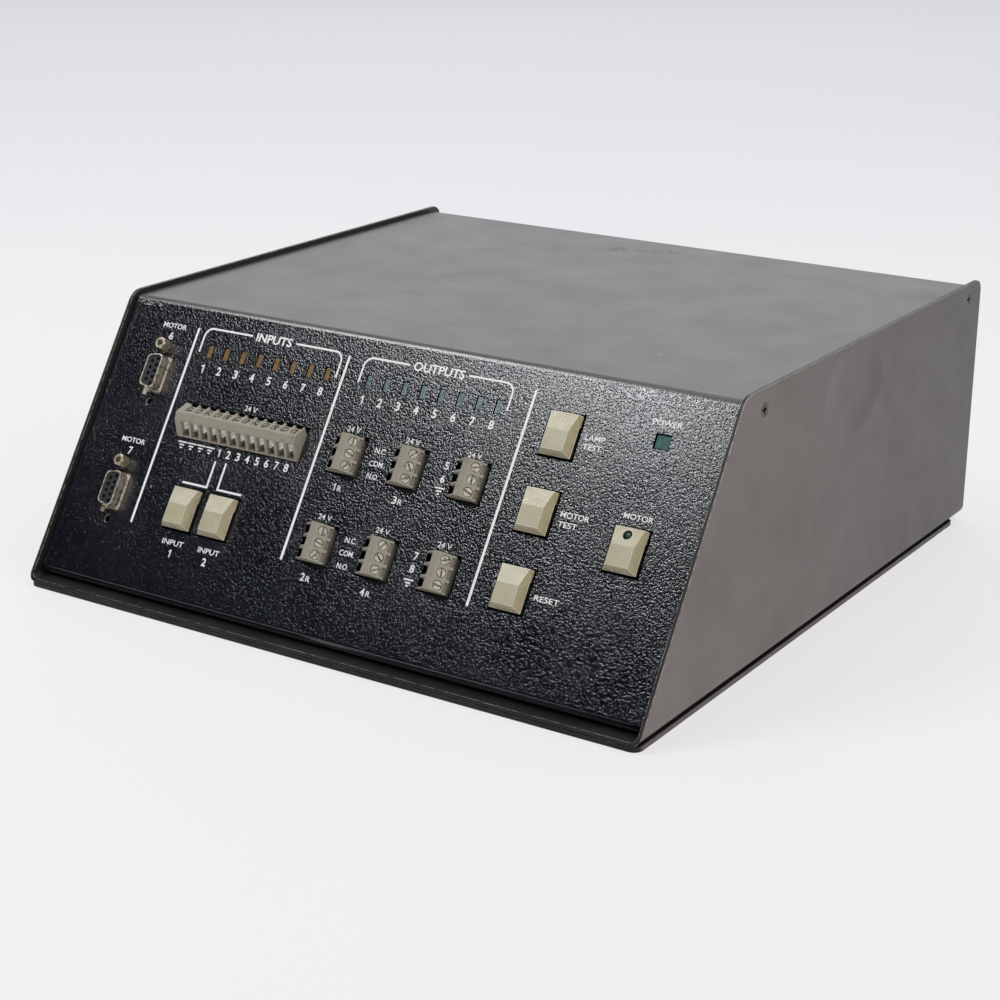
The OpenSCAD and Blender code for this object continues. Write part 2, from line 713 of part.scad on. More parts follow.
module transformer_core() color("#4a4a4e") at_trafo() {
    difference() {
        translate([-core.x / 2, -core.y / 2, 0]) cube(core);
        for (side = [-1, 1]) translate([side * 19 - window.x / 2, -core.y / 2 - 1, (core.z - window.y) / 2])
            cube([window.x, core.y + 2, window.y]);
        for (x = [-33, 33]) for (z = [6, core.z - 6]) translate([x, 0, z]) rotate([90, 0, 0])
            cylinder(r = 2.1, h = core.y + 4, center = true);
    }
    for (y = [-1, 1]) difference() {
        translate([-core.x / 2, y * (core.y / 2 + 7) - 7, 0]) cube([core.x, 14, 2]);
        for (x = [-30, 30]) translate([x, y * (core.y / 2 + 9), -1]) cylinder(r = 2.2, h = 4);
    }
}

module transformer_windings() color("#8a5a32") at_trafo() translate([0, 0, core.z / 2]) difference() {
    rotate([90, 0, 0]) translate([0, 0, -coil.y / 2]) rounded_box(coil.x, coil.z, coil.y, 4);
    cube([24.2, core.y + 0.2, core.z], center = true);
    for (side = [-1, 1]) translate([side * 40, 0, 0]) cube([28.2 + 0.2, core.y + 0.2, core.z], center = true);
}

module transformer_bolts() color("silver") {
    at_trafo() for (x = [-33, 33]) for (z = [6, core.z - 6])
        translate([x, -core.y / 2 - 0.02, z]) rotate([90, 0, 0]) pan_screw(2, 3.6, 2.6, core.y + 3);
    at_trafo() for (x = [-30, 30]) for (y = [-1, 1])
        translate([x, y * (core.y / 2 + 9), 2.02]) pan_screw(2, 3.6, 2.6, 1.9);
}

sink = [-70, 258];
module heat_sink() color("#2b2b2d") placed() translate([sink.x, sink.y, shell_t + 0.01]) {
    difference() {
        translate([-60, 0, 0]) cube([120, 4, 80]);
        for (i = [0 : 5]) translate([-50 + i * 20, -1, 52]) rotate([-90, 0, 0]) cylinder(r = 1.6, h = 6);
    }
    for (i = [0 : 12]) translate([-60 + i * 118 / 12, 4 - eps, 0]) cube([2, 22, 80]);
}

module power_transistors() color("#232325") placed() translate([sink.x, sink.y - 0.01, shell_t]) {
    for (i = [0 : 5]) translate([-50 + i * 20, 0, 46]) difference() {
        union() {
            translate([-8, -4.8, -10]) cube([16, 4.8, 20]);
            for (x = [-5.4, 0, 5.4]) translate([x - 0.6, -2.6, -28]) cube([1.2, 0.8, 18 + eps]);
        }
        translate([0, 1, 6]) rotate([90, 0, 0]) cylinder(r = 1.6, h = 8);
    }
}

// The flat cable between the boards, along its middle line in the YZ plane
ribbon_from = [ribbon_v * cos(slope) + (recess + board_h + board_t + header_h) * sin(slope),
               ribbon_v * sin(slope) - (recess + board_h + board_t + header_h) * cos(slope)];
ribbon_line = [ribbon_from, ribbon_from + 16 * [sin(slope), -cos(slope)], [74, 48], [ribbon_y, 48],
               [ribbon_y, main_top + header_h]];
ribbon_path = [ribbon_line[0], each [for (i = [1 : 3])
    each corner(ribbon_line[i - 1], ribbon_line[i], ribbon_line[i + 1], 7, 8)], ribbon_line[4]];
function side_of(path, i) = let (d = unit(path[min(i + 1, len(path) - 1)] - path[max(i - 1, 0)])) [-d.y, d.x];

module ribbon_cable() color("#8f9299") {
    n = len(ribbon_path) - 1;
    placed() translate([ribbon_x, 0, 0]) across(32) polygon([
        for (i = [0 : n]) ribbon_path[i] + side_of(ribbon_path, i) * 0.45,
        for (i = [n : -1 : 0]) ribbon_path[i] - side_of(ribbon_path, i) * 0.45]);
}

// Rear fittings -----------------------------------------------------------------------------

pin_at = [[-7, -2], [7, -2], [0, 2]];

module mains_inlet() color("#1b1b1d") on_rear(inlet_at) {
    difference() {
        union() {
            translate([0, 0, 0.02]) rounded_box(50, 23, bezel_t, 3);
            translate([0, 0, -20]) rounded_box(27, 19.6, 20.1, 1.5);
        }
        translate([0, 0, -15]) rounded_box(24.4, 17.4, 20, 2);
        for (at = pin_at) translate([at.x - 1.03, at.y - 2.03, -21]) cube([2.06, 4.06, 8]);
        for (s = [-1, 1]) translate([s * 20, 0, -1]) cylinder(r = 1.6, h = 4);
    }
}

module mains_pins() color("silver") on_rear(inlet_at) {
    for (at = pin_at) translate([at.x, at.y, 0]) {
        translate([-1, -2, -19.5]) cube([2, 4, 18]);
        translate([-0.4, -2, -28]) cube([0.8, 4, 9]);
    }
}

fuse_r = 4.2;

module fuse_holder() color("#1b1b1d") on_rear(fuse_at) difference() {
    union() {
        translate([0, 0, 0.02]) cylinder(r = 8.2, h = 1.6);
        translate([0, 0, -32]) cylinder(r = 6, h = 32.1);
    }
    translate([0, 0, -30]) cylinder(r = fuse_r, h = 34);
}

module fuse_carrier() color("#1b1b1d") on_rear(fuse_at) difference() {
    union() {
        translate([0, 0, -28]) cylinder(r = fuse_r - 0.08, h = 30);
        translate([0, 0, 1.9]) cylinder(r = 6.6, h = 4.8);
    }
    translate([-5, -0.6, 5.5]) cube([10, 1.2, 3]);
    for (i = [0 : 11]) rotate([0, 0, i * 30]) translate([6.9, 0, 3]) cylinder(r = 0.7, h = 6, $fn = 16);
}

rocker_pivot = -3;
module power_switch_body() color("#1b1b1d") on_rear(switch_at) difference() {
    union() {
        translate([0, 0, 0.02]) rounded_box(16, 25, 1.6, 1.5);
        translate([0, 0, -18]) rounded_box(13, 21, 18.1, 0.8);
    }
    translate([0, 0, -8]) rounded_box(10.2, 19.1, 12, 0.4);
    translate([0, 0, rocker_pivot]) rotate([0, 90, 0]) cylinder(r = 1.06, h = 12, center = true);
}

module power_rocker() color("#8e2f2b") on_rear(switch_at) translate([0, 0, rocker_pivot]) rotate([10, 0, 0]) {
    difference() {
        union() {
            across(9.6) polygon([[-8.6, 2], [8.6, 2], [8.6, 5.6], [5, 4.6], [0, 4.1], [-5, 4.6], [-8.6, 5.6]]);
            across(9.6) circle(r = 2.6);
        }
        // the on mark's groove
        translate([-0.4, 5.6, 4.4]) cube([0.8, 2.2, 2]);
    }
    rotate([0, 90, 0]) cylinder(r = 1, h = 11.6, center = true);
}

module wide_shell(at, size, w, l) {
    on_rear(at) difference() {
        union() {
            translate([0, 0, 0.05]) rounded_box(w, l, bezel_t - 0.05, 1.2);
            wide_d(size, 0, 6);
        }
        translate([0, 0, -1]) wide_d(size, -0.5, 9);
        for (s = [-1, 1]) translate([s * (w - 5.8) / 2, 0, -1]) cylinder(r = 1.6, h = 4);
    }
}

module wide_insert(at, size) {
    on_rear(at, -9) wide_d(size, -0.55, 14.4);
}

module robot_connector_shell() color("#a39d8e") wide_shell(robot_at, robot_d, 66.9, 15.4);
module robot_connector_insert() color("#24252a") wide_insert(robot_at, robot_d);
module serial_connector_shell() color("#a39d8e") wide_shell(serial_at, serial_d, 52.84, 12.5);
module serial_connector_insert() color("#24252a") wide_insert(serial_at, serial_d);

base_shell();
base_plate();
base_plate_screws();
front_top_cover();
cover_screws();
rear_panel();
rear_panel_screws();
input_terminal_block();
input_terminal_screws();
input_terminal_clamps();
relay_block_1();
relay_block_2();
relay_block_3();
relay_block_4();
transistor_block_56();
transistor_block_78();
output_terminal_screws();
output_terminal_clamps();
motor_6_shell();
motor_7_shell();
motor_6_insert();
motor_7_insert();
motor_contacts();
motor_jack_screws();
input_lamps();
output_lamps();
power_lamp();
input_1_cap();
input_2_cap();
lamp_test_cap();
motor_test_cap();
reset_cap();
motor_cap();
motor_key_lamp();
key_switches();
front_board();
front_board_spacers();
front_board_screws();
main_board();
main_board_standoffs();
main_board_screws();
logic_chips();
output_relays();
filter_capacitors();
transformer_core();
transformer_windings();
transformer_bolts();
heat_sink();
power_transistors();
ribbon_cable();
mains_inlet();
mains_pins();
fuse_holder();
fuse_carrier();
power_switch_body();
power_rocker();
robot_connector_shell();
robot_connector_insert();
serial_connector_shell();
serial_connector_insert();
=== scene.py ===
"""Looks of a desktop robot controller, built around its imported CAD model.

Lengths are in metres. Positions on the sloped panel are in millimetres: u across, v up, h out of its face.
"""
import json
import math

import bmesh
import bpy
from mathutils import Matrix, Vector

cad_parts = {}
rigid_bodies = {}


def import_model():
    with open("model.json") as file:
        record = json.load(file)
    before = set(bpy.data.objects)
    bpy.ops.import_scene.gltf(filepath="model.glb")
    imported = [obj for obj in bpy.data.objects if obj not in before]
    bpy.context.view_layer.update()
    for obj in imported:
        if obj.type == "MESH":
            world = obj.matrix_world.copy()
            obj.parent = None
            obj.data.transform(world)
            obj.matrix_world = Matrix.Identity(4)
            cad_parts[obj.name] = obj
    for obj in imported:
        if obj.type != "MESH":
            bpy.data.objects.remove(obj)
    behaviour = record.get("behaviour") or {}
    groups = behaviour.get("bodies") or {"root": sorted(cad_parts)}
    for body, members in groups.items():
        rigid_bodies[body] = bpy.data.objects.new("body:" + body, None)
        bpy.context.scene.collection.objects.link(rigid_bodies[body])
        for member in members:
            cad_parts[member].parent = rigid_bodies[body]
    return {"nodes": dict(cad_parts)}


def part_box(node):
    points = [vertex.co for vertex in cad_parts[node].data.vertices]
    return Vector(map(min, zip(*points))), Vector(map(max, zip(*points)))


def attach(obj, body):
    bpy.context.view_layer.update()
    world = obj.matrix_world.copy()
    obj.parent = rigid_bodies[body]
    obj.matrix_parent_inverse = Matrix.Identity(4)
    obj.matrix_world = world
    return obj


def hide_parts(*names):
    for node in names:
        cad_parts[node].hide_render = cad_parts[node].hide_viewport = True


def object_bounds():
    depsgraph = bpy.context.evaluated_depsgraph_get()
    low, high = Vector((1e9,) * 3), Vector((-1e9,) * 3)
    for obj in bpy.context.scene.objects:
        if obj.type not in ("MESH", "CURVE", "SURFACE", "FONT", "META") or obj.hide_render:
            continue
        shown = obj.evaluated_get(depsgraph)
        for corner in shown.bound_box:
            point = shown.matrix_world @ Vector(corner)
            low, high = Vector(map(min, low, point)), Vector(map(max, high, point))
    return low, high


for leftover in list(bpy.data.objects):
    bpy.data.objects.remove(leftover)
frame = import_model()
cad_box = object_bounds()
nodes = frame["nodes"]

MM = 0.001
CASE_DEPTH, SETBACK, CASE_HEIGHT = 0.309, 0.074, 0.113
RECESS = 2.5 * MM                       # the panel's face lies this far inside the walls' front edges
shell_low, shell_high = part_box("base_shell")
SLOPE = math.atan2(CASE_HEIGHT, SETBACK)
ACROSS = Vector((1, 0, 0))
UP = Vector((0, math.cos(SLOPE), math.sin(SLOPE)))
OUT = Vector((0, -math.sin(SLOPE), math.cos(SLOPE)))
FOOT = Vector((0, shell_high.y - CASE_DEPTH, shell_low.z))
CENTRE = Vector((0, 0, 0.055))            # the middle of the case, which the lights aim at
SAME_POINT = 0.004 * MM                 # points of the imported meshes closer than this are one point
LAMP_PITCH, TERMINAL_PITCH = 8.97, 5.08


def on_panel(u, v, h=0.0):
    """Where a place on the panel is, in metres, from its millimetres."""
    return FOOT + MM * (u * ACROSS + v * UP + h * OUT) - RECESS * OUT


def in_case(x, y, z):
    """Where a place in the case is, in metres, from millimetres off its front edge line and its floor."""
    return FOOT + MM * Vector((x, y, z))


# ---------------------------------------------------------------- camera and light

def make_camera():
    azimuth, elevation, roll = 0.57436, 0.33035, 0.00735          # radians
    back = Vector((math.sin(azimuth) * math.cos(elevation), -math.cos(azimuth) * math.cos(elevation),
                   math.sin(elevation)))
    right = Vector((math.cos(azimuth), math.sin(azimuth), 0))
    up = back.cross(right)
    turned_right = math.cos(roll) * right + math.sin(roll) * up
    turned_up = math.cos(roll) * up - math.sin(roll) * right
    data = bpy.data.cameras.new("camera")
    data.lens, data.sensor_width, data.clip_start, data.clip_end = 77.06, 36, 0.05, 60
    camera = bpy.data.objects.new("camera", data)
    matrix = Matrix((turned_right, turned_up, back)).transposed().to_4x4()
    matrix.translation = FOOT + Vector((0.48423, -0.608229, 0.331377))
    camera.matrix_world = matrix
    bpy.context.scene.collection.objects.link(camera)
    bpy.context.scene.camera = camera


def softbox(name, direction, distance, size, radiance, color=(1, 1, 1), aim=CENTRE):
    """A rectangular area light in that direction from the object, of that radiance."""
    data = bpy.data.lights.new(name, "AREA")
    data.shape, data.size, data.size_y = "RECTANGLE", size[0], size[1]
    data.energy = radiance * math.pi * size[0] * size[1]
    data.color = color
    lamp = bpy.data.objects.new(name, data)
    direction = Vector(direction).normalized()
    lamp.matrix_world = direction.to_track_quat("Z", "Y").to_matrix().to_4x4()
    lamp.location = aim + direction * distance
    lamp.visible_camera = False
    bpy.context.scene.collection.objects.link(lamp)


def make_world():
    world = bpy.data.worlds.new("studio")
    bpy.context.scene.world = world
    world.use_nodes = True
    tree = world.node_tree
    tree.nodes.clear()
    output = tree.nodes.new("ShaderNodeOutputWorld")
    mix = tree.nodes.new("ShaderNodeMixShader")
    path = tree.nodes.new("ShaderNodeLightPath")
    lit, seen = tree.nodes.new("ShaderNodeBackground"), tree.nodes.new("ShaderNodeBackground")
    # the studio is pale all round, but for a dark stretch that the panel mirrors
    way = tree.nodes.new("ShaderNodeTexCoord")
    facing = tree.nodes.new("ShaderNodeVectorMath")
    facing.operation = "DOT_PRODUCT"
    facing.inputs[1].default_value = Vector((-0.56, -0.62, 0.50)).normalized()
    tree.links.new(way.outputs["Generated"], facing.inputs[0])
    level = tree.nodes.new("ShaderNodeMapRange")
    level.interpolation_type = "SMOOTHSTEP"
    for socket, value in (("From Min", 0.45), ("From Max", 0.82), ("To Min", 0.68), ("To Max", 0.01)):
        level.inputs[socket].default_value = value
    tree.links.new(facing.outputs["Value"], level.inputs["Value"])
    tree.links.new(level.outputs[0], lit.inputs["Strength"])
    lit.inputs["Color"].default_value = (0.97, 0.98, 1, 1)
    seen.inputs["Color"].default_value = (0.76, 0.76, 0.80, 1)
    seen.inputs["Strength"].default_value = 1.0
    tree.links.new(path.outputs["Is Camera Ray"], mix.inputs[0])
    tree.links.new(lit.outputs[0], mix.inputs[1])
    tree.links.new(seen.outputs[0], mix.inputs[2])
    tree.links.new(mix.outputs[0], output.inputs[0])


make_camera()
make_world()
bpy.context.scene.view_settings.view_transform = "Standard"
softbox("key", (-0.54, -0.35, 0.766), 2.0, (0.40, 0.40), 8.5)
softbox("panel_glow", (-0.418, -0.548, 0.725), 2.0, (0.36, 0.34), 14, (0.96, 0.98, 1))
softbox("overhead", (0.1, 0.3, 1), 2.4, (2.6, 2.0), 1.1)
softbox("upper_left", (-0.53, -0.18, 0.83), 2.1, (0.42, 0.42), 11)
softbox("top_glow", (-0.57, 0.74, 0.38), 2.2, (1.8, 0.9), 0.56, (1, 0.94, 1))
softbox("right_fill", (1, -0.35, 0.6), 2.2, (1.4, 1.2), 1.4, (1, 0.94, 0.91))


# ---------------------------------------------------------------- materials

class Finish:
    """A procedural material on one Principled shader, in the object's own coordinates."""

    def __init__(self, name, color=(0.5, 0.5, 0.5), roughness=0.5, **sockets):
        self.material = bpy.data.materials.new("look_" + name)
        self.material.use_nodes = True
        self.tree = self.material.node_tree
        self.shader = self.tree.nodes["Principled BSDF"]
        self.place = self.node("TexCoord").outputs["Object"]
        self.set("Base Color", (*color, 1))
        self.set("Roughness", roughness)
        for key, value in sockets.items():
            self.set(key.replace("_", " "), value)

    def set(self, socket, value):
        self.feed(self.shader.inputs[socket], value)

    def feed(self, socket, value):
        if isinstance(value, bpy.types.NodeSocket):
            self.tree.links.new(value, socket)
        elif hasattr(value, "__len__") and socket.type == "RGBA":
            socket.default_value = (*value[:3], 1)
        else:
            socket.default_value = value

    def node(self, kind, inputs=None, **settings):
        made = self.tree.nodes.new("ShaderNode" + kind)
        for key, value in settings.items():
            setattr(made, key, value)
        for key, value in (inputs or {}).items():
            self.feed(made.inputs[key], value)
        return made

    def noise(self, size, detail=2.0, rough=0.5, distort=0.0, stretch=None):
        """Noise whose lumps are about that many millimetres across."""
        where = self.place
        if stretch:
            where = self.node("Mapping", {"Vector": where, "Scale": stretch}).outputs[0]
        return self.node("TexNoise", {"Vector": where, "Scale": 1 / (size * MM), "Detail": detail,
                                      "Roughness": rough, "Distortion": distort}).outputs[0]

    def cells(self, size):
        """Distance to the nearest of points scattered about that many millimetres apart."""
        return self.node("TexVoronoi", {"Vector": self.place, "Scale": 1 / (size * MM)}).outputs[0]

    def math(self, operation, a, b=0.0):
        return self.node("Math", {0: a, 1: b}, operation=operation).outputs[0]

    def fade(self, value, low, high, smooth=True):
        """0 below low, 1 above high (or the other way round if low is above high)."""
        kind = "SMOOTHSTEP" if smooth else "LINEAR"
        if low > high:
            low, high, start, end = high, low, 1.0, 0.0
        else:
            start, end = 0.0, 1.0
        return self.node("MapRange", {"Value": value, "From Min": low, "From Max": high, "To Min": start,
                                      "To Max": end}, interpolation_type=kind).outputs[0]

    def span(self, value, low, high):
        """Maps a value that runs from about 0.3 to 0.7 onto low to high."""
        return self.node("MapRange", {"Value": value, "From Min": 0.3, "From Max": 0.7, "To Min": low,
                                      "To Max": high}).outputs[0]

    def mix(self, factor, a, b):
        made = self.node("Mix", data_type="RGBA")
        for index, value in ((0, factor), (6, a), (7, b)):
            self.feed(made.inputs[index], value)
        return made.outputs[2]

    def bump(self, height, depth, under=None):
        """Bump of that many millimetres where height goes from 0 to 1."""
        inputs = {"Height": height, "Distance": depth * MM, "Strength": 1.0}
        if under is not None:
            inputs["Normal"] = under
        return self.node("Bump", inputs).outputs[0]

    def along(self, direction, origin=(0, 0, 0)):
        """How far a point lies along a direction, in millimetres, from an origin in metres."""
        moved = self.node("VectorMath", {0: self.place, 1: tuple(origin)}, operation="SUBTRACT").outputs[0]
        return self.node("VectorMath", {0: moved, 1: tuple(Vector(direction) / MM)},
                         operation="DOT_PRODUCT").outputs["Value"]

    def edges(self, width):
        """1 on edges, as if worn round over that many millimetres; used for bare wear and for painted edge
        highlights.
        """
        rounded = self.node("Bevel", {"Radius": width * MM}, samples=6).outputs[0]
        true = self.node("NewGeometry").outputs["Normal"]
        turn = self.node("VectorMath", {0: rounded, 1: true}, operation="DOT_PRODUCT").outputs["Value"]
        return self.fade(turn, 0.995, 0.9)

    def hollows(self, reach):
        """1 in narrow slots and corners, 0 on open faces: where shade is painted in."""
        sky = self.node("AmbientOcclusion", {"Distance": reach * MM}, samples=6, only_local=True)
        return self.fade(sky.outputs["AO"], 0.72, 0.38)

    def patch(self, centre, across, reach, soft=0.5):
        """1 inside an ellipse: centre in metres, two axis directions, two half sizes in millimetres."""
        a = self.math("DIVIDE", self.along(across[0], centre), reach[0])
        b = self.math("DIVIDE", self.along(across[1], centre), reach[1])
        squares = self.math("ADD", self.math("MULTIPLY", a, a), self.math("MULTIPLY", b, b))
        return self.fade(squares, 1.0, 1.0 - soft)

    def both(self, a, b):
        return self.math("MULTIPLY", a, b)

    def either(self, a, b):
        return self.math("MAXIMUM", a, b)


def orange_peel(look):
    """Height of the cover's stippled paint: lumps about a millimetre across, joined into short worms."""
    coarse = look.noise(0.88, 2.0, 0.45, 0.3)
    return look.fade(coarse, 0.30, 0.56, False)


def cover_paint():
    look = Finish("cover_paint", (0.006, 0.006, 0.008), 0.34, IOR=1.85)
    up, height = look.along(UP, FOOT), look.along((0, 0, 1), FOOT)
    slanted = look.fade(height, 110.6, 109.2)              # 1 on the panel, 0 on the top
    front = look.both(slanted, look.fade(up, 6.0, 10.0))   # the smooth band along the lower bend left out
    peel = orange_peel(look)
    strength = look.math("ADD", look.both(front, 0.94), 0.06)
    look.set("Normal", look.bump(look.both(peel, strength), 0.05))
    haze = look.noise(38, 4, 0.6)
    dark = look.mix(look.span(haze, 0, 1), (0.004, 0.0045, 0.0085), (0.0075, 0.008, 0.0145))
    # the top is painted several times lighter than the panel in the same black paint: a painted reflection of
    # the light grazing it
    top = look.mix(look.span(look.noise(60, 5, 0.6), 0, 1), (0.022, 0.020, 0.022), (0.030, 0.027, 0.029))
    color = look.mix(slanted, top, dark)
    # brown smears left by tape on the top, near its rear edge
    smear = None
    for x, y, rx, ry in ((-21, 276, 6, 6), (1, 284, 9, 5), (-8, 279, 8, 3)):
        spot = look.patch(in_case(x, y, 111), ((1, 0, 0), (0, 1, 0)), (rx, ry), 0.7)
        smear = spot if smear is None else look.either(smear, spot)
    smear = look.both(smear, look.fade(look.noise(2.4, 3, 0.6), 0.42, 0.6))
    color = look.mix(look.both(smear, 0.8), color, (0.035, 0.022, 0.012))
    # a dark scratch on the top, left
    scratch = look.patch(in_case(-74, 111, 111), ((1, 0.14, 0), (-0.14, 1, 0)), (2.6, 15), 0.6)
    scratch = look.both(scratch, look.fade(look.noise(1.6, 3, 0.7, 0.8), 0.47, 0.56))
    color = look.mix(look.both(scratch, 0.85), color, (0.004, 0.004, 0.004))
    # chipped paint on the upper left bend and beside one key
    bend = look.both(look.patch(in_case(-140, 72.6, 110.2), ((1, 0, 0), (0, 1, 0.9)), (8, 1.7), 0.5),
                     look.fade(look.noise(1.1, 3, 0.65), 0.50, 0.56))
    beside = look.both(look.patch(on_panel(71, 48.5), (ACROSS, UP), (1.6, 3.6), 0.4),
                       look.fade(look.noise(0.8, 2, 0.5), 0.5, 0.56))
    specks = look.both(look.fade(look.cells(22), 0.035, 0.02), look.fade(look.noise(30, 1), 0.5, 0.56))
    chips = look.either(look.either(bend, beside), look.both(specks, 0.6))
    color = look.mix(chips, color, (0.42, 0.40, 0.38))
    look.set("Base Color", color)
    # the panel is glossier than the top, and the band along the lower bend is glossier still
    rough = look.math("ADD", look.span(look.noise(24, 4, 0.6), 0.31, 0.38), look.both(slanted, -0.18))
    band = look.fade(up, 8.0, 5.0)
    rough = look.math("SUBTRACT", rough, look.both(look.both(band, slanted), 0.14))
    look.set("Roughness", look.math("ADD", rough, look.both(smear, 0.15)))
    return look


def panel_ink():
    look = Finish("panel_ink", (0.7, 0.7, 0.68), 0.55)
    peel = orange_peel(look)
    look.set("Normal", look.bump(peel, 0.014))
    worn = look.both(look.fade(look.noise(0.6, 2, 0.6), 0.30, 0.22), look.span(look.noise(14, 2), 0.1, 0.6))
    look.set("Base Color", look.mix(worn, (0.95, 0.95, 0.96), (0.4, 0.4, 0.41)))
    return look


def shell_paint():
    look = Finish("shell_paint", (0.02, 0.02, 0.02), 0.38, Specular_IOR_Level=0.36)
    # the walls' outer faces are grey, partly scuffed paint and partly painted light; the inner faces and the
    # walls' cut edges keep the black paint
    side = look.fade(look.math("ABSOLUTE", look.along((1, 0, 0))), 149.4, 149.8)
    cloud = look.noise(45, 5, 0.62)
    scuff_and_sheen = look.noise(5, 6, 0.7, 0.0, (1, 0.25, 1.6))
    outer = look.mix(look.span(cloud, 0, 1), (0.120, 0.103, 0.097), (0.162, 0.141, 0.133))
    # lighter streaks on the outer faces: scuffs, partly painted sheen
    outer = look.mix(look.both(look.fade(scuff_and_sheen, 0.55, 0.75), 0.4), outer, (0.20, 0.18, 0.17))
    rear = look.fade(look.along((0, 1, 0)), -150, 120)
    outer = look.mix(look.both(rear, 0.7), outer, (0.060, 0.057, 0.057))
    inner = look.mix(look.span(cloud, 0, 1), (0.010, 0.010, 0.011), (0.022, 0.021, 0.021))
    color = look.mix(side, inner, outer)
    # hairline scratches on the walls
    hair = look.fade(look.noise(1.1, 2, 0.5, 0.3, (1, 0.05, 1)), 0.74, 0.78)
    color = look.mix(look.both(look.both(hair, side), 0.22), color, (0.2, 0.19, 0.18))
    # bare metal along rubbed edges
    edge = look.edges(0.32)
    bare = look.both(edge, look.fade(look.noise(2.6, 4, 0.7), 0.42, 0.52))
    front = look.fade(look.along(OUT, FOOT), -3.0, -1.2)
    low = look.fade(look.along((0, 0, 1), FOOT), 4.5, 2.5)
    low_front = look.both(low, look.fade(look.along((0, 1, 0), FOOT), 8.0, 5.0))
    where = look.either(look.either(front, low_front), 0.6)
    bare = look.both(bare, where)
    metal = look.mix(look.span(look.noise(9, 2), 0, 1), (0.55, 0.42, 0.36), (0.75, 0.72, 0.70))
    look.set("Base Color", look.mix(bare, color, metal))
    look.set("Metallic", look.both(bare, 0.4))
    rough = look.math("ADD", look.span(look.noise(16, 5, 0.65), 0.34, 0.46), look.both(side, 0.04))
    look.set("Roughness", rough)
    dent = look.patch(in_case(150, 172, 93), ((0, 1, 0), (0, 0, 1)), (30, 20), 1.0)
    dented = look.bump(look.both(dent, side), -1.6)
    look.set("Normal", look.bump(look.noise(0.9, 3, 0.55), 0.02, dented))
    return look


def base_look():
    look = Finish("base_paint", (0.014, 0.014, 0.014), 0.5, Specular_IOR_Level=0.25)
    cloud = look.span(look.noise(25, 4, 0.6), 0, 1)
    # the plate's sides are grey like the walls, partly scuffed paint and partly painted light; its front and
    # underside keep the black paint
    side = look.fade(look.math("ABSOLUTE", look.along((1, 0, 0))), 149.0, 149.6)
    scuff_and_sheen = look.mix(cloud, (0.075, 0.066, 0.062), (0.115, 0.102, 0.096))
    color = look.mix(side, look.mix(cloud, (0.008, 0.008, 0.008), (0.02, 0.019, 0.018)), scuff_and_sheen)
    bare = look.both(look.edges(0.3), look.fade(look.noise(11, 5, 0.7), 0.44, 0.60))
    look.set("Base Color", look.mix(look.both(bare, 0.6), color, (0.34, 0.23, 0.18)))
    look.set("Roughness", look.span(look.noise(9, 4, 0.6), 0.4, 0.6))
    return look


def painted(name, dark, light, roughness=(0.35, 0.5), grain=0.02):
    look = Finish(name, dark, roughness[0])
    look.set("Base Color", look.mix(look.span(look.noise(25, 4, 0.6), 0, 1), dark, light))
    look.set("Roughness", look.span(look.noise(9, 4, 0.6), *roughness))
    look.set("Normal", look.bump(look.noise(0.8, 2), grain))
    return look


def plastic(name, clean, grimy, roughness=(0.4, 0.55), grain=0.012, grime=(0.45, 0.62), deep=0.0):
    """Moulded plastic with dirt in patches, and painted shade in hollows narrower than deep."""
    look = Finish(name, clean, roughness[0])
    dirt = look.fade(look.noise(3.0, 4, 0.65), *grime)
    color = look.mix(look.both(dirt, 0.6), clean, grimy)
    if deep:
        # painted shade in slots and corners
        color = look.mix(look.both(look.hollows(deep), 0.6), color, (0.02, 0.018, 0.014))
    look.set("Base Color", color)
    look.set("Roughness", look.span(look.noise(4, 3), *roughness))
    look.set("Normal", look.bump(look.noise(0.35, 2), grain))
    return look


def metal(name, bright, dull, roughness=(0.25, 0.45), spot=(0.5, 0.62), size=1.2, metallic=0.9, deep=0.0):
    """Metal with stained spots about size across, and painted shade, near black, in hollows narrower than deep.
    """
    look = Finish(name, bright, roughness[0], Metallic=metallic)
    stain = look.fade(look.noise(size, 4, 0.65), *spot)
    color = look.mix(stain, bright, dull)
    if deep:
        # painted shade in slots and corners
        color = look.mix(look.hollows(deep), color, (0.01, 0.008, 0.006))
    look.set("Base Color", color)
    look.set("Roughness", look.span(look.noise(size * 0.7, 3), *roughness))
    look.set("Normal", look.bump(look.noise(0.3, 2), 0.008))
    return look


def lens(name, bright, deep, roughness=0.22, coat=0.6):
    """A moulded lamp lens: darker towards its ends, with fine streaks inside, and a painted highlight along its
    edges.
    """
    look = Finish(name, bright, roughness, Coat_Weight=coat, Coat_Roughness=0.12)
    color = look.mix(look.span(look.noise(1.4, 3, 0.6), 0, 1), deep, bright)
    # painted highlight: the lens edges lighter than the lens
    rim_highlight = tuple(0.35 + 0.65 * c for c in bright)
    look.set("Base Color", look.mix(look.both(look.edges(0.22), 0.5), color, rim_highlight))
    look.set("Normal", look.bump(look.noise(0.7, 2), 0.02))
    return look


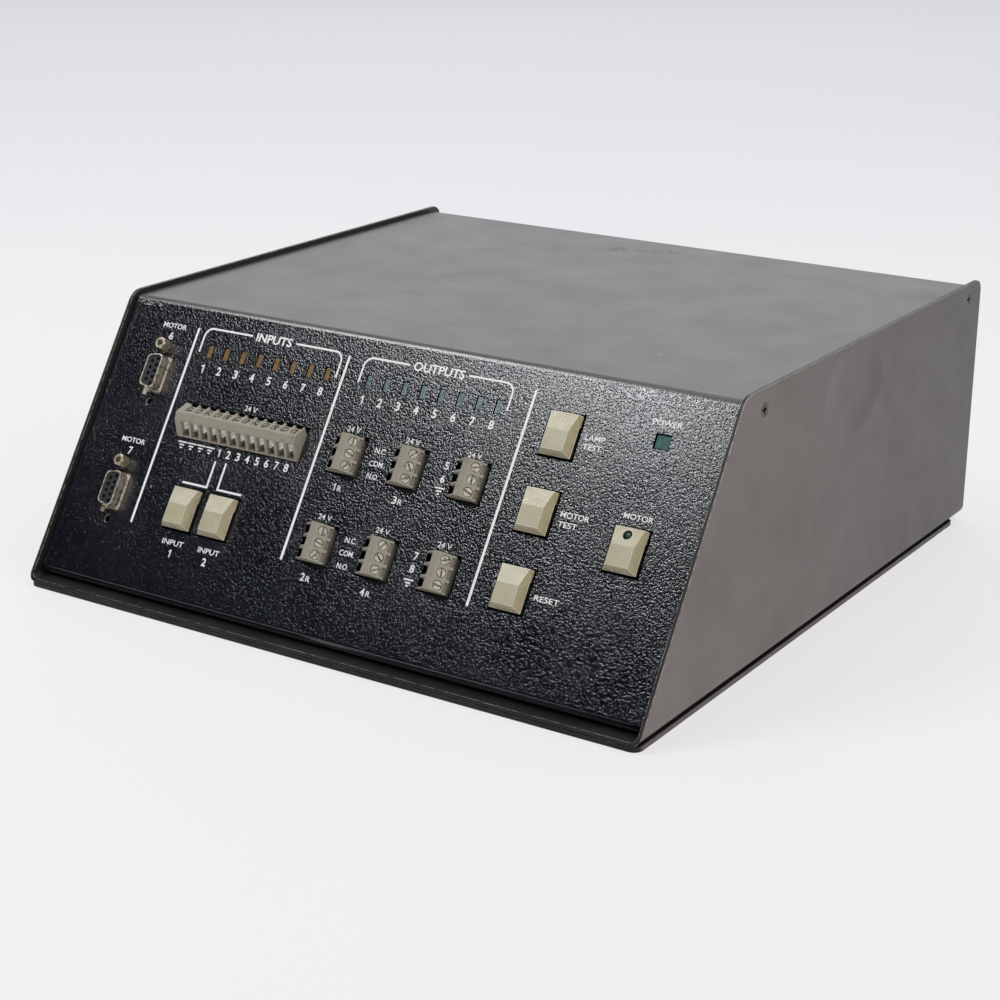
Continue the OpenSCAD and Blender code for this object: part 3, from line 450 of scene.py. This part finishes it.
def key_plastic():
    look = Finish("key_plastic", (0.52, 0.47, 0.32), 0.42, Specular_IOR_Level=0.5)
    cloud = look.noise(7, 4, 0.6)
    color = look.mix(look.span(cloud, 0, 1), (0.44, 0.405, 0.275), (0.52, 0.485, 0.345))
    # darker, browner patches low on the caps by the panel: partly grime, partly painted shade
    low = look.both(look.fade(look.along(OUT, FOOT), 1.6, -1.4), look.fade(look.noise(2.2, 4, 0.7), 0.40, 0.58))
    color = look.mix(look.both(low, 0.7), color, (0.30, 0.24, 0.12))
    # the caps' right-facing sides painted darker tan: painted shade
    right = look.node("VectorMath", {0: look.node("NewGeometry").outputs["Normal"], 1: (1, 0, 0)},
                      operation="DOT_PRODUCT").outputs["Value"]
    color = look.mix(look.both(look.fade(right, 0.2, 0.6), 0.5), color, (0.36, 0.29, 0.13))
    specks = look.fade(look.cells(2.6), 0.07, 0.04)
    color = look.mix(look.both(specks, 0.5), color, (0.16, 0.12, 0.07))
    # painted highlight: the caps' edges and ridge lighter cream
    ridge_highlight = look.fade(look.edges(0.45), 0.0, 0.25)
    color = look.mix(look.both(ridge_highlight, 0.8), color, (0.88, 0.85, 0.74))
    look.set("Base Color", color)
    look.set("Roughness", look.span(look.noise(3, 3), 0.27, 0.36))
    look.set("Normal", look.bump(look.noise(0.5, 2), 0.01))
    return look


def board_look():
    look = Finish("circuit_board", (0.02, 0.10, 0.05), 0.3)
    tracks = look.node("TexBrick", {"Vector": look.place, "Scale": 90.0, "Mortar Size": 0.03,
                                    "Color1": (0.012, 0.085, 0.035, 1), "Color2": (0.018, 0.11, 0.045, 1),
                                    "Mortar": (0.03, 0.19, 0.075, 1)}).outputs[0]
    look.set("Base Color", tracks)
    look.set("Roughness", look.span(look.noise(6, 3), 0.25, 0.4))
    return look


def core_look():
    look = Finish("core_steel", (0.1, 0.1, 0.11), 0.4, Metallic=0.6)
    sheets = look.node("TexWave", {"Vector": look.place, "Scale": 500.0, "Distortion": 0.3},
                       bands_direction="X").outputs[1]
    look.set("Normal", look.bump(sheets, 0.1))
    look.set("Base Color", look.mix(look.span(look.noise(8, 4), 0, 1), (0.05, 0.045, 0.04), (0.13, 0.12, 0.12)))
    return look


def winding_look():
    look = Finish("copper_winding", (0.4, 0.2, 0.08), 0.35)
    turns = look.node("TexWave", {"Vector": look.place, "Scale": 320.0, "Distortion": 0.4},
                      bands_direction="Z").outputs[1]
    look.set("Normal", look.bump(turns, 0.2))
    look.set("Base Color", look.mix(turns, (0.14, 0.05, 0.015), (0.45, 0.21, 0.07)))
    return look


LOOKS = {
    "shell_paint": shell_paint(),
    "cover_paint": cover_paint(),
    "panel_ink": panel_ink(),
    "base_paint": base_look(),
    "rear_paint": painted("rear_paint", (0.012, 0.012, 0.013), (0.024, 0.023, 0.023), (0.32, 0.45)),
    "screw_steel": metal("screw_steel", (0.42, 0.39, 0.33), (0.20, 0.17, 0.13), (0.28, 0.45), deep=0.7),
    # the motor connectors' contacts painted near black: painted shade of the holes they sit in
    "contact_painted_shade": metal("contact_painted_shade", (0.05, 0.04, 0.03), (0.02, 0.015, 0.012), (0.3, 0.5)),
    "front_board": painted("front_board", (0.004, 0.010, 0.007), (0.006, 0.014, 0.009), (0.35, 0.5)),
    "cover_screw": metal("cover_screw", (0.09, 0.09, 0.09), (0.02, 0.02, 0.02), (0.25, 0.4), deep=0.8),
    "terminal_plastic": plastic("terminal_plastic", (0.33, 0.305, 0.245), (0.21, 0.18, 0.13),
                                grime=(0.55, 0.75), deep=0.9),
    "clamp_metal": metal("clamp_metal", (0.95, 0.90, 0.84), (0.55, 0.46, 0.40), (0.35, 0.5), metallic=0.3),
    "connector_metal": metal("connector_metal", (0.76, 0.69, 0.58), (0.20, 0.15, 0.11),
                             (0.26, 0.5), (0.50, 0.66), 1.6),
    "jack_metal": metal("jack_metal", (0.68, 0.60, 0.47), (0.30, 0.23, 0.15), (0.25, 0.42), (0.5, 0.66), 1.0),
    "connector_plastic": plastic("connector_plastic", (0.012, 0.014, 0.021), (0.022, 0.022, 0.026)),
    "contact_brass": metal("contact_brass", (0.62, 0.46, 0.2), (0.25, 0.16, 0.07)),
    "amber_lens": lens("amber_lens", (0.30, 0.185, 0.085), (0.14, 0.08, 0.032)),
    "green_lens": lens("green_lens", (0.20, 0.30, 0.29), (0.03, 0.075, 0.075)),
    "power_lens": lens("power_lens", (0.055, 0.15, 0.14), (0.03, 0.09, 0.085), 0.6, 0.0),
    "key_lamp": lens("key_lamp", (0.01, 0.09, 0.045), (0.004, 0.03, 0.015), 0.12),
    "key_plastic": key_plastic(),
    "black_plastic": plastic("black_plastic", (0.010, 0.010, 0.010), (0.03, 0.028, 0.026)),
    "circuit_board": board_look(),
    "chip_plastic": plastic("chip_plastic", (0.014, 0.014, 0.015), (0.03, 0.03, 0.03)),
    "relay_plastic": plastic("relay_plastic", (0.02, 0.09, 0.28), (0.02, 0.05, 0.15), (0.2, 0.35)),
    "capacitor_sleeve": plastic("capacitor_sleeve", (0.012, 0.03, 0.11), (0.02, 0.03, 0.06), (0.18, 0.3)),
    "core_steel": core_look(),
    "copper_winding": winding_look(),
    "sink_aluminium": metal("sink_aluminium", (0.62, 0.62, 0.62), (0.4, 0.4, 0.4), (0.35, 0.5)),
    "ribbon_plastic": plastic("ribbon_plastic", (0.32, 0.33, 0.34), (0.2, 0.2, 0.2)),
    "rocker_plastic": plastic("rocker_plastic", (0.012, 0.012, 0.012), (0.03, 0.03, 0.03), (0.2, 0.3)),
}


# ---------------------------------------------------------------- the CAD nodes

def dress(obj, look):
    obj.data.materials.clear()
    obj.data.materials.append(LOOKS[look].material)


def modifier(obj, kind, **settings):
    made = obj.modifiers.new(kind.lower(), kind)
    for key, value in settings.items():
        setattr(made, key, value)
    return made


def soften(obj, width, angle=21, segments=2, merge_faces=True):
    """Joins the mesh up and rounds its sharp edges over that many millimetres."""
    modifier(obj, "WELD", merge_threshold=SAME_POINT)
    if merge_faces:
        modifier(obj, "DECIMATE", decimate_type="DISSOLVE", angle_limit=math.radians(0.4))
    modifier(obj, "BEVEL", width=width * MM, segments=segments, limit_method="ANGLE",
             angle_limit=math.radians(angle), miter_outer="MITER_ARC", use_clamp_overlap=True)
    modifier(obj, "WEIGHTED_NORMAL", weight=60, keep_sharp=False)


# nodes whose look isn't the one their material slot names
OWN_LOOK = {"cover_screws": "cover_screw", "base_plate_screws": "cover_screw", "front_board": "front_board",
            "motor_jack_screws": "jack_metal", "motor_contacts": "contact_painted_shade"}
ROUNDING = {                            # how far edges are rounded, in millimetres, where it isn't 0.1
    0.08: ("input_terminal_clamps", "input_terminal_screws", "output_terminal_clamps",
           "output_terminal_screws"),
    0.15: ("motor_jack_screws", "motor_6_shell", "motor_7_shell", "robot_connector_shell",
           "serial_connector_shell"),
    0.2: ("rear_panel",),
    0.25: ("input_lamps", "output_lamps"),
    0.3: ("base_shell", "heat_sink"),
    0.4: ("base_plate", "power_lamp", "fuse_carrier", "mains_inlet", "power_switch_body"),
    0.5: ("power_rocker",),
}
SOFTNESS = {name: width for width, names in ROUNDING.items() for name in names}
for name, obj in nodes.items():
    slot = obj.data.materials[0].name.split(".")[0]
    dress(obj, OWN_LOOK.get(name, slot))
    if name == "front_top_cover":
        continue
    if name.endswith("_cap"):
        soften(obj, 0.2, 9, 3)
    elif "_block" in name:
        soften(obj, 0.14, merge_faces=False)
    elif name in SOFTNESS:
        soften(obj, SOFTNESS[name])
    else:
        soften(obj, 0.1)


def sheet_copy(node):
    """The node's mesh as one joined-up bmesh with its flat faces in one piece."""
    made = bmesh.new()
    made.from_mesh(nodes[node].data)
    bmesh.ops.remove_doubles(made, verts=made.verts, dist=SAME_POINT)
    bmesh.ops.dissolve_limit(made, angle_limit=math.radians(0.3), verts=made.verts, edges=made.edges)
    return made


def piece(name, made, look, body="case"):
    """A new piece from a bmesh, which rides on a body."""
    mesh = bpy.data.meshes.new(name)
    made.to_mesh(mesh)
    made.free()
    obj = bpy.data.objects.new(name, mesh)
    bpy.context.scene.collection.objects.link(obj)
    mesh.materials.append(LOOKS[look].material)
    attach(obj, body)
    return obj


def folded_cover():
    """The cover with a rounded fold along both sides and softened cut-outs."""
    made = sheet_copy("front_top_cover")
    made.normal_update()
    side_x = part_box("front_top_cover")[1].x

    def turned(edge, least):
        return len(edge.link_faces) == 2 and edge.calc_face_angle(0) > math.radians(least)

    def outward(face):
        """True for the sheet's outer faces: the panel's, the top's and the bends' between them."""
        centre = face.calc_center_median()
        depth = (centre - FOOT).dot(OUT)
        return (face.normal.dot(OUT) > 0.9 and depth > -2.7 * MM) or \
            (face.normal.z > 0.5 and centre.z > FOOT.z + 0.1)

    folds, rims = [], []
    for edge in made.edges:
        if not turned(edge, 40):
            continue
        at_side = all(abs(abs(v.co.x) - side_x) < 0.02 * MM for v in edge.verts)
        if not any(outward(f) for f in edge.link_faces):
            continue
        if not at_side:
            rims.append(edge)
        elif any(abs(f.normal.x) > 0.9 for f in edge.link_faces):
            folds.append(edge)
    for edges, width, segments in ((folds, 1.1, 4), (rims, 0.22, 2)):
        bmesh.ops.bevel(made, geom=[e for e in edges if e.is_valid], offset=width * MM, offset_type="OFFSET",
                        segments=segments, profile=0.5, affect="EDGES", clamp_overlap=True)
    for face in made.faces:
        face.smooth = True
    obj = piece("cover_sheet", made, "cover_paint")
    modifier(obj, "WEIGHTED_NORMAL", weight=60, keep_sharp=False)
    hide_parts("front_top_cover")


folded_cover()


# ---------------------------------------------------------------- lettering and lines on the panel

INK_LOW, INK_HIGH = 0.005, 0.045        # the ink's under and upper side, in millimetres above the panel's face


class Print:
    """Collects glyphs and lines in panel millimetres and makes one thin raised piece of them."""

    # the font's own 1 is a plain bar, so this is a 1 with a flag, one unit high
    ONE = ((0.22, 0), (0.38, 0), (0.38, 1), (0.27, 1), (0.2, 0.9), (0, 0.8), (0, 0.68), (0.22, 0.76))

    def __init__(self):
        self.mesh = bmesh.new()

    def outline(self, points):
        """A filled polygon, given anticlockwise as (u, v) in millimetres."""
        low = [self.mesh.verts.new(on_panel(u, v, INK_LOW)) for u, v in points]
        high = [self.mesh.verts.new(on_panel(u, v, INK_HIGH)) for u, v in points]
        self.mesh.faces.new(high)
        self.mesh.faces.new(low[::-1])
        for i in range(len(points)):
            j = (i + 1) % len(points)
            self.mesh.faces.new((low[i], low[j], high[j], high[i]))

    def path(self, points, width):
        """A line of that width through points, with square joins."""
        left, right = [], []
        for i, point in enumerate(points):
            here = Vector(point)
            before = (here - Vector(points[i - 1])).normalized() if i else None
            after = (Vector(points[i + 1]) - here).normalized() if i + 1 < len(points) else None
            along = ((before or after) + (after or before)).normalized()
            side = Vector((-along.y, along.x))
            reach = width / 2 / max(0.3, side.dot(Vector((-(before or after).y, (before or after).x))))
            left.append(here + side * reach)
            right.append(here - side * reach)
        self.outline([tuple(p) for p in right + left[::-1]])

    def text(self, words, u, v, bold=0.0):
        """Words fitted into a box: u and v are (low, high) pairs in millimetres."""
        curve = bpy.data.curves.new("glyphs", "FONT")
        curve.body, curve.size, curve.extrude, curve.offset = words, 1.0, 0.5, bold + 0.008
        curve.resolution_u = 3
        holder = bpy.data.objects.new("glyphs", curve)
        bpy.context.scene.collection.objects.link(holder)
        bpy.context.view_layer.update()
        mesh = holder.to_mesh()
        low = [min(p.co[i] for p in mesh.vertices) for i in range(2)]
        high = [max(p.co[i] for p in mesh.vertices) for i in range(2)]
        verts = []
        for p in mesh.vertices:
            place = [pair[0] + (p.co[i] - low[i]) / (high[i] - low[i]) * (pair[1] - pair[0])
                     for i, pair in enumerate((u, v))]
            verts.append(self.mesh.verts.new(on_panel(*place, INK_HIGH if p.co.z > 0 else INK_LOW)))
        for face in mesh.polygons:
            corners = [verts[i] for i in face.vertices]
            if len(set(corners)) == len(corners):
                try:
                    self.mesh.faces.new(corners)
                except ValueError:
                    pass
        holder.to_mesh_clear()
        bpy.data.objects.remove(holder)
        bpy.data.curves.remove(curve)

    def centred(self, words, u, v, height, bold=0.0, width_of=None):
        """Words of that height centred on (u, v); width_of gives the width in millimetres."""
        width = width_of or height * 0.62 * len(words)
        if words == "1":
            left, foot = u - 0.19 * height, v - height / 2
            self.outline([(left + x * height, foot + y * height) for x, y in self.ONE])
            return
        self.text(words, (u - width / 2, u + width / 2), (v - height / 2, v + height / 2), bold)

    def ground(self, u, v):
        """An earth sign: three bars, each shorter than the one above."""
        for width, drop in ((4.6, 0), (2.4, 1.25), (1.2, 2.45)):
            self.path([(u - width / 2, v - drop), (u + width / 2, v - drop)], 0.6)

    def bracket(self, left, right, foot, top, gap, line=0.8, corner=4.0):
        """A rounded bracket over a row of lamps, open in the middle for its title."""
        for edge, inner in ((left, gap[0]), (right, gap[1])):
            sign = 1 if inner > edge else -1
            points = [(edge, foot), (edge, top - corner)]
            points += [(edge + sign * corner * (1 - math.cos(a)), top - corner + corner * math.sin(a))
                       for a in (math.radians(d) for d in range(15, 90, 15))]
            points += [(edge + sign * corner, top), (inner, top)]
            self.path(points, line)


def panel_print():
    ink = Print()
    for u in (-108.8, -28.4, 61.8):
        ink.path([(u, 35.8), (u, 124.2)], 1.1)
    ink.bracket(-104.65, -31.8, 114.0, 125.0, (-79.7, -56.4))
    ink.text("INPUTS", (-77.55, -58.8), (123.0, 126.8), 0.012)
    ink.bracket(-20.2, 51.8, 114.0, 125.0, (1.4, 30.0))
    ink.text("OUTPUTS", (3.55, 28.05), (123.0, 126.8), 0.012)
    for i in range(8):
        for first, shift in ((-99.2, -0.6), (-15.4, -0.4)):
            width = 1.15 if i == 0 else 2.25
            ink.centred(str(i + 1), first + LAMP_PITCH * i + shift, 107.05, 3.7, 0.01, width)
    for i in range(12):
        centre = -97.5 + (i + 0.5) * TERMINAL_PITCH - 1.7
        if i < 4:
            ink.ground(centre, 74.2)
        else:
            ink.centred(str(i - 3), centre, 72.8, 3.5, 0.01, 1.1 if i == 4 else 2.15)
    ink.path([(-76.55, 69.1), (-76.55, 57.5), (-89.6, 57.5)], 0.9)
    ink.path([(-70.8, 69.1), (-70.8, 57.5), (-58.0, 57.5)], 0.9)
    for low, high, number, at in ((-89.4, -78.15, "1", -83.7), (-70.0, -58.8, "2", -65.0)):
        ink.text("INPUT", (low, high), (30.4, 32.7))
        ink.centred(number, at, 26.9, 3.4, 0.01, 1.1 if number == "1" else 2.1)
    for low, high, foot, number, at in ((-128.4, -115.6, 122.0, "6", -122.2),
                                        (-128.9, -116.1, 69.1, "7", -122.4)):
        ink.text("MOTOR", (low, high), (foot, foot + 2.3))
        ink.centred(number, at, foot - 3.5, 3.4, 0.01, 2.1)
    for u, v in ((-67.8, 93.8), (-14.5, 94.2), (14.7, 94.2), (44.3, 93.8),
                 (-14.2, 56.6), (14.4, 56.5), (44.0, 56.5)):
        ink.centred("24 V", u, v, 2.3, 0.0, 6.6)
    for rows in ((87.7, 82.2, 76.9), (49.8, 44.4, 39.0)):
        for words, v, width in zip(("N.C.", "COM.", "N.O."), rows, (5.5, 7.2, 5.5)):
            ink.centred(words, 1.4, v, 2.3, 0.0, width)
    for u, rows, numbers in ((33.4, (87.5, 82.0, 77.0), "56"), (33.0, (49.8, 44.7, 39.0), "78")):
        for number, v in zip(numbers, rows):
            ink.centred(number, u, v, 3.2, 0.01, 2.05)
        ink.ground(u, rows[2] + 1.2)
    for number, u, foot in (("1", -13.5, 68.0), ("3", 16.3, 68.0),
                            ("2", -14.0, 29.5), ("4", 15.6, 29.5)):
        ink.centred(number, u - 1.4, foot + 1.6, 3.2, 0.01, 1.1 if number == "1" else 2.0)
        ink.centred("R", u + 1.4, foot + 1.2, 2.3, 0.0, 2.0)
    for words, u, v in (("LAMP", (88.9, 97.6), (108.5, 110.8)), ("TEST", (88.9, 97.2), (104.7, 107.0)),
                        ("MOTOR", (88.9, 101.5), (77.3, 79.6)), ("TEST", (88.9, 97.2), (73.4, 75.7)),
                        ("RESET", (88.9, 99.8), (43.9, 46.1)), ("POWER", (114.6, 127.3), (119.5, 121.8)),
                        ("MOTOR", (114.8, 127.3), (82.0, 84.3))):
        ink.text(words, u, v)
    bmesh.ops.remove_doubles(ink.mesh, verts=ink.mesh.verts, dist=0.0002 * MM)
    bmesh.ops.recalc_face_normals(ink.mesh, faces=ink.mesh.faces)
    piece("panel_print", ink.mesh, "panel_ink")


panel_print()


# ---------------------------------------------------------------- the floor

def make_floor():
    made = bmesh.new()
    bmesh.ops.create_circle(made, cap_ends=True, radius=12, segments=96)
    mesh = bpy.data.meshes.new("floor")
    made.to_mesh(mesh)
    made.free()
    floor = bpy.data.objects.new("floor", mesh)
    floor.location.z = cad_box[0].z
    bpy.context.scene.collection.objects.link(floor)
    look = Finish("floor", (0.86, 0.86, 0.86), 0.7, Specular_IOR_Level=0.2, Emission_Strength=1.0)
    far = look.fade(look.along((-0.54, 0.84, 0)), -100, 1500)
    pale = look.mix(look.span(look.noise(400, 3), 0, 1), (0.235, 0.235, 0.235), (0.245, 0.245, 0.245))
    look.set("Base Color", look.mix(far, pale, (0.24, 0.24, 0.26)))
    look.set("Emission Color", look.mix(far, (0.625, 0.615, 0.608), (0.51, 0.51, 0.545)))
    floor.data.materials.append(look.material)


make_floor()
